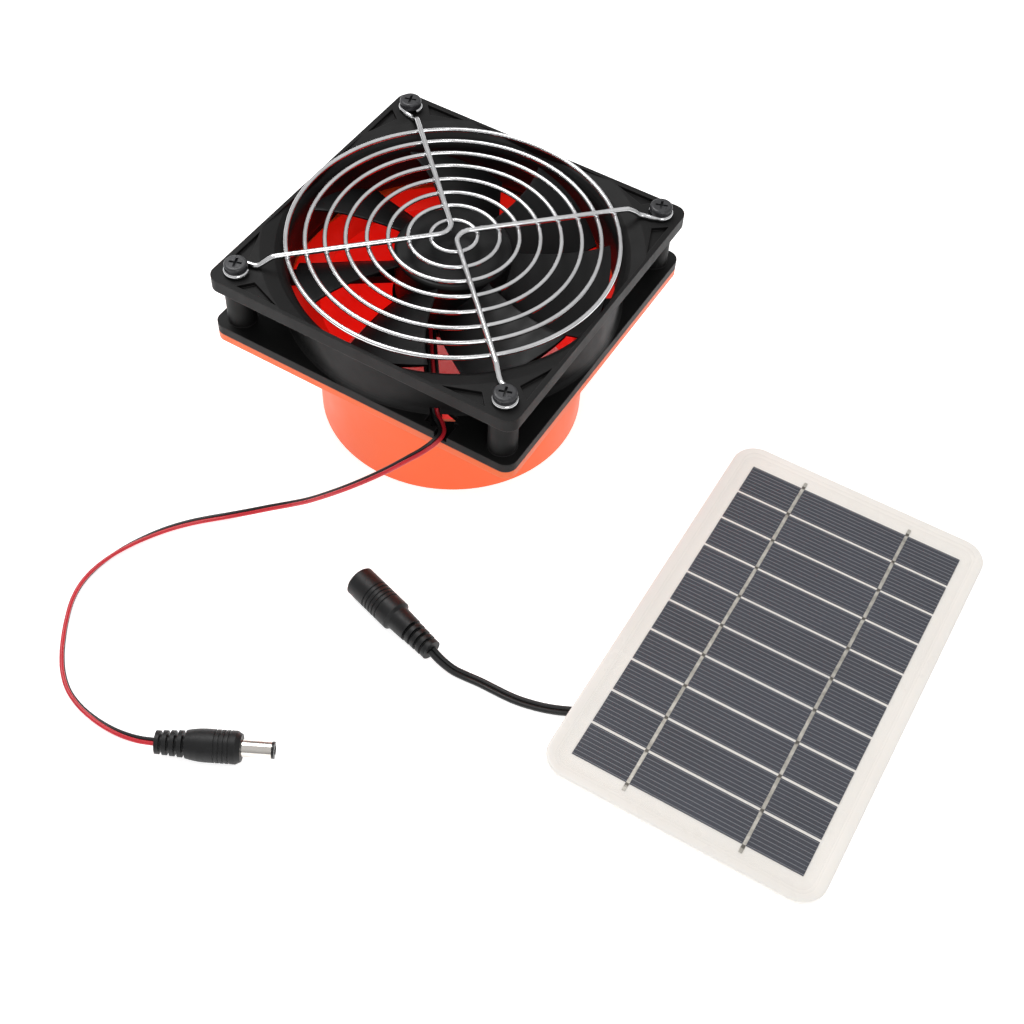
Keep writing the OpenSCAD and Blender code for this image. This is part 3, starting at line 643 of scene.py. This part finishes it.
FAN_Z = 49.5 * MM
TOP_Z = 74.5 * MM
HUB_R = 20.5 * MM
HUB_WALL = 1.5 * MM
HUB_TOP_Z = TOP_Z - 2 * MM
HUB_SKIRT_Z = FAN_Z + 4.1 * MM
BLADE_COUNT = 7
BLADE_ROOT_R = HUB_R - 1.1 * MM
BLADE_TIP_R = 54.5 * MM
BLADE_TOP_Z = TOP_Z - 4.2 * MM
BLADE_PHASE = -73.5
BLADE_SWEEP = 7
BLADE_T = 2 * MM
BLADE_EDGE_T = 0.9 * MM
BLADE_CAMBER = 1.1 * MM
BLADE_ROWS = 22
BLADE_COLUMNS = 18
ROOT_DROP_MM = 15.4
DROP_LOST_MM = 2.8
ROOT_FILLET = 1.3 * MM
ROOT_FILLET_REACH = 0.075
NOSE_REACH = 0.7
NOSE_SIDE = 0.71
HUB_SEGMENTS = 160
HUB_EDGE_R = 1.5 * MM
HUB_EDGE_STEPS = 8
HUB_RIM = 0.25 * MM
LID_Z = HUB_TOP_Z - 1.6 * MM
BOSS_R = 3.4 * MM
BOSS_BORE_R = 1.5 * MM
BOSS_BORE_TOP_Z = LID_Z + 0.6 * MM
BOSS_FOOT_Z = FAN_Z + 18 * MM
AXIS_R = 0.02 * MM


def blade_ring(u, spin):
    """One section of a blade, at u = 0 on the hub and u = 1 at the tip."""
    r = BLADE_ROOT_R + (BLADE_TIP_R - BLADE_ROOT_R) * u
    # The chord is an angle in degrees: wide at the hub, narrowest near the tip.
    chord = 52 - 40 * u + 24 * u * u
    drop = (ROOT_DROP_MM - DROP_LOST_MM * u) * MM
    fillet = ROOT_FILLET * max(0, 1 - u / ROOT_FILLET_REACH) ** 2

    def point(t, side, ahead=0.0):
        a = math.radians(BLADE_SWEEP * u * u - chord * t + ahead + spin)
        thick = BLADE_EDGE_T + (BLADE_T - BLADE_EDGE_T) * math.sin(math.pi * t)
        z = BLADE_TOP_Z - drop * t + BLADE_CAMBER * math.sin(math.pi * t)
        return Vector((r * math.cos(a), r * math.sin(a), z + side * (thick / 2 + fillet)))

    nose = math.degrees(BLADE_EDGE_T / 2 / r) * NOSE_REACH
    lower = [point(k / BLADE_COLUMNS, -1) for k in range(BLADE_COLUMNS + 1)]
    upper = [point(k / BLADE_COLUMNS, 1) for k in range(BLADE_COLUMNS, -1, -1)]
    front = [point(0, NOSE_SIDE, nose), point(0, -NOSE_SIDE, nose)]
    back = [point(1, -NOSE_SIDE, -nose), point(1, NOSE_SIDE, -nose)]
    return lower + back + upper + front


def impeller_piece():
    """A cup-shaped hub with a boss inside and a dimple on top, and the blades round it."""
    shape = Shape()
    profile = [(HUB_R - HUB_WALL, HUB_SKIRT_Z), (HUB_R - HUB_RIM, HUB_SKIRT_Z),
               (HUB_R, HUB_SKIRT_Z + HUB_RIM)]
    for k in range(HUB_EDGE_STEPS + 1):
        a = math.radians(90 * k / HUB_EDGE_STEPS)
        profile.append((HUB_R - HUB_EDGE_R + HUB_EDGE_R * math.cos(a),
                        HUB_TOP_Z - HUB_EDGE_R + HUB_EDGE_R * math.sin(a)))
    profile += [(12 * MM, HUB_TOP_Z), (1.6 * MM, HUB_TOP_Z), (1.15 * MM, HUB_TOP_Z - 0.12 * MM),
                (0.85 * MM, HUB_TOP_Z - 0.38 * MM), (AXIS_R, HUB_TOP_Z - 0.4 * MM),
                (AXIS_R, BOSS_BORE_TOP_Z), (BOSS_BORE_R, BOSS_BORE_TOP_Z),
                (BOSS_BORE_R, BOSS_FOOT_Z), (BOSS_R, BOSS_FOOT_Z), (BOSS_R, LID_Z),
                (HUB_R - HUB_WALL, LID_Z)]
    shape.revolve(profile, HUB_SEGMENTS)
    for k in range(BLADE_COUNT):
        spin = BLADE_PHASE + 360 / BLADE_COUNT * k
        shape.rings([blade_ring(i / BLADE_ROWS, spin) for i in range(BLADE_ROWS + 1)])
    return shape.piece("impeller_moulding", [impeller_black.material], "impeller",
                       ["impeller"], sharp=40)


impeller_piece()


# ------------------------------------------------------------------ wire guard

RING_RADII = [8, 15.6, 22.4, 29.6, 36.8, 43.8, 50.5, 57]
RING_WIRE = 1.6 * MM
SPOKE_WIRE = 1.9 * MM
RING_Z = TOP_Z + 2.8 * MM
SPOKE_Z = RING_Z + RING_WIRE / 2 + SPOKE_WIRE / 2 - 0.1 * MM
EYE_Z = TOP_Z + SPOKE_WIRE / 2
SPOKE_BEND_R = 5.5 * MM
EYE_R = 3.5 * MM
EYE_OUT = 52.5 * MM * math.sqrt(2)
SPOKE_SIDES = 16
BEAD_ROWS = 6
BEAD_SIDES = 12
BEAD_R = 1.12 * MM
BEAD_HALF_H = 0.62 * MM
BEAD_SINK = 0.05 * MM


def on_line(out, aside, z):
    """A point on the diagonal of a spoke: how far out, how far aside, and its height."""
    c = math.cos(math.radians(45))
    return Vector((out * c + aside * c, -(out * c - aside * c), z))


def spoke_route():
    """One bent wire: a round bend near the middle, and two arms that each end in an eye."""
    centre = SPOKE_BEND_R * math.sqrt(2)
    half = []
    for a in range(180, 226, 5):
        t = math.radians(a)
        half.append(Vector((centre + SPOKE_BEND_R * math.cos(t), SPOKE_BEND_R * math.sin(t), SPOKE_Z)))
    for out in (10, 20, 30, 40, 50, 60.5):
        half.append(on_line(out * MM, 0, SPOKE_Z))
    for out, aside, z in ((62.5, 0, SPOKE_Z - 0.5 * MM), (64.5, 0, (SPOKE_Z + EYE_Z) / 2),
                          (66.3, 0.2, EYE_Z + 0.4 * MM), (68, 0.7, EYE_Z), (70, 2, EYE_Z)):
        half.append(on_line(out * MM, aside * MM, z))
    for a in range(128, -161, -9):
        t = math.radians(a)
        half.append(on_line(EYE_OUT + EYE_R * math.cos(t), EYE_R * math.sin(t), EYE_Z))
    other = [Vector((p.x, -p.y, p.z)) for p in reversed(half[1:])]
    return refine(other + half, 3)


def guard_spokes_piece():
    shape = Shape()
    for turn in (0, 180):
        first = len(shape.points)
        shape.rings(tube_rings(spoke_route(), SPOKE_WIRE / 2, SPOKE_SIDES))
        shape.move(Matrix.Rotation(math.radians(turn), 4, "Z"), first)
    return shape.piece("guard_spoke_wires", [bright_wire.material], "fan",
                       ["guard_spokes"], sharp=60)


def weld_spots_piece():
    """A small squeezed bead where each ring is welded under a spoke."""
    shape = Shape()
    for radius in RING_RADII:
        for k in range(4):
            size = random.uniform(0.95, 1.12)
            a = math.radians(45 + 90 * k)
            x = radius * MM * math.cos(a)
            y = radius * MM * math.sin(a)
            rings = []
            for i in range(BEAD_ROWS + 1):
                t = math.pi * (0.06 + 0.88 * i / BEAD_ROWS)
                ring_r = BEAD_R * size * math.sin(t)
                z = RING_Z + RING_WIRE / 2 - BEAD_SINK - BEAD_HALF_H * math.cos(t)
                rings.append([Vector((x + ring_r * math.cos(2 * math.pi * s / BEAD_SIDES),
                                      y + ring_r * math.sin(2 * math.pi * s / BEAD_SIDES), z))
                              for s in range(BEAD_SIDES)])
            shape.rings(rings)
    return shape.piece("guard_weld_beads", [bright_wire.material], "fan", sharp=70)


guard_spokes_piece()
weld_spots_piece()


# ------------------------------------------------------------------ panel laminate

PANEL_HALF = (47.75 * MM, 78 * MM)
PANEL_CORNER = 9 * MM
# The laminate's edge from its back round to its face, then down to the recess for the cells.
BOARD_EDGE = ((0.45, 4.5), (0.12, 4.62), (0, 4.95), (0, 6.5), (0.07, 6.75), (0.25, 6.93),
              (0.5, 7), (1.2, 6.98), (2.5, 6.82), (4, 6.5), (5.2, 6.24), (6.2, 6.13), (6.8, 6.1))
WINDOW_HALF = (44.5 * MM, 75.2 * MM)
WINDOW_CORNER = 5 * MM
POCKET_Z = 6.5 * MM
WINDOW_TOP_Z = 6.98 * MM
RIBBON_STEPS = 96
RIBBON_HALF_L = 72 * MM
RIBBON_Z = 6.3 * MM
CORNER_STEPS = 14


def rounded_outline(half, corner, z):
    """A rectangle with round corners at one height, on the panel."""
    ring = []
    for k, (sx, sy) in enumerate(((1, 1), (-1, 1), (-1, -1), (1, -1))):
        for i in range(CORNER_STEPS + 1):
            a = math.radians(90 * k + 90 * i / CORNER_STEPS)
            ring.append(Vector((sx * (half[0] - corner) + corner * math.cos(a),
                                sy * (half[1] - corner) + corner * math.sin(a), z)))
    return ring


def panel_ring(inset, z):
    """The panel's outline, moved in from its edge."""
    half = (PANEL_HALF[0] - inset, PANEL_HALF[1] - inset)
    return rounded_outline(half, PANEL_CORNER - inset, z)


def panel_pieces():
    """The white laminate, the clear sheet in its recess, and the two ribbons over the cells."""
    place = Matrix.Translation((*PANEL_CENTRE, 0)) @ Matrix.Rotation(PANEL_TURN, 4, "Z")
    board = Shape()
    board.rings([panel_ring(inset * MM, z * MM) for inset, z in BOARD_EDGE])
    board.move(place)
    board.piece("panel_laminate", [panel_white.material], "panel", ["panel_board"])
    cover = Shape()
    cover.rings([rounded_outline(WINDOW_HALF, WINDOW_CORNER, POCKET_Z),
                 rounded_outline(WINDOW_HALF, WINDOW_CORNER, WINDOW_TOP_Z)])
    cover.move(place)
    cover.piece("panel_resin", [clear_film.material], "panel", ["panel_cover"])
    ribbons = Shape()
    for x in (-RIBBON_SPACING / 2, RIBBON_SPACING / 2):
        rings = []
        for i in range(RIBBON_STEPS + 1):
            y = -RIBBON_HALF_L + 2 * RIBBON_HALF_L * i / RIBBON_STEPS
            half = random.uniform(0.56, 0.64) * MM
            shift = x + 0.12 * MM * math.sin(y * 70)
            top = RIBBON_Z + random.uniform(0.085, 0.1) * MM
            rings.append([Vector((shift - half, y, RIBBON_Z)), Vector((shift + half, y, RIBBON_Z)),
                          Vector((shift + half * 0.9, y, top)), Vector((shift - half * 0.9, y, top))])
        ribbons.rings(rings)
    ribbons.move(place)
    ribbons.piece("bus_ribbon_strips", [ribbon_silver.material], "panel",
                  ["bus_ribbons"], sharp=50)


panel_pieces()


# ------------------------------------------------------------------ floor, world and lights

SPIGOT_R = 48.5 * MM
FLOOR_HALF = 4.0
FLOOR_STEPS = 8
FLOOR_Z = -0.02 * MM
FLOOR_GLOW = 0.68
WORLD_HORIZON = 0.34
WORLD_ZENITH = 0.66
KEY_WATTS = 6
FILL_WATTS = 2.5


def floor_piece():
    """A white floor that glows a little, except under the duct, where the red light falls."""
    span = 2 * FLOOR_HALF / FLOOR_STEPS
    row = FLOOR_STEPS + 1
    points = []
    for i in range(row):
        for k in range(row):
            points.append((-FLOOR_HALF + i * span, -FLOOR_HALF + k * span, FLOOR_Z))
    faces = []
    for i in range(FLOOR_STEPS):
        for k in range(FLOOR_STEPS):
            a = i * row + k
            faces.append((a, a + row, a + row + 1, a + 1))
    mesh = bpy.data.meshes.new("floor")
    mesh.from_pydata(points, [], faces)
    n = Nodes("floor_white")
    n.set(Specular_IOR_Level=0.1, Emission_Color=(1, 1, 1, 1))
    radius, _ = n.radius_and_height()
    outside = n.math("GREATER_THAN", radius, SPIGOT_R)
    n.link(n.math("MULTIPLY", outside, FLOOR_GLOW), n.shader.inputs["Emission Strength"])
    n.colour(n.mix(n.spread(n.noise(3), 0, 1), (0.9, 0.9, 0.9), (0.93, 0.93, 0.93)))
    n.roughness(n.spread(n.noise(40), 0.6, 0.75))
    mesh.materials.append(n.material)
    place_object("floor", mesh)


def area_light(name, place, target, size, power):
    data = bpy.data.lights.new(name, "AREA")
    data.shape = "RECTANGLE"
    data.size = size[0]
    data.size_y = size[1]
    data.energy = power
    obj = place_object(name, data)
    obj.location = place
    obj.rotation_euler = (Vector(target) - Vector(place)).to_track_quat("-Z", "Y").to_euler()


def make_world():
    """A white surround, dimmer at the horizon than overhead."""
    world = bpy.data.worlds.new("studio")
    world.use_nodes = True
    tree = world.node_tree
    tree.nodes.clear()
    out = tree.nodes.new("ShaderNodeOutputWorld")
    background = tree.nodes.new("ShaderNodeBackground")
    background.inputs["Color"].default_value = (1, 1, 1, 1)
    direction = tree.nodes.new("ShaderNodeTexCoord")
    split = tree.nodes.new("ShaderNodeSeparateXYZ")
    rise = tree.nodes.new("ShaderNodeMapRange")
    rise.inputs["From Min"].default_value = 0.05
    rise.inputs["From Max"].default_value = 0.75
    rise.inputs["To Min"].default_value = WORLD_HORIZON
    rise.inputs["To Max"].default_value = WORLD_ZENITH
    tree.links.new(direction.outputs["Generated"], split.inputs[0])
    tree.links.new(split.outputs["Z"], rise.inputs["Value"])
    tree.links.new(rise.outputs[0], background.inputs["Strength"])
    tree.links.new(background.outputs[0], out.inputs[0])
    bpy.context.scene.world = world


floor_piece()
make_world()
area_light("key", (-0.45, 0.15, 1.0), (0.05, -0.05, 0), (0.55, 0.55), KEY_WATTS)
area_light("fill", (0.9, -0.8, 0.8), (0.08, -0.08, 0), (0.5, 0.5), FILL_WATTS)
bpy.context.scene.view_settings.view_transform = "Standard"
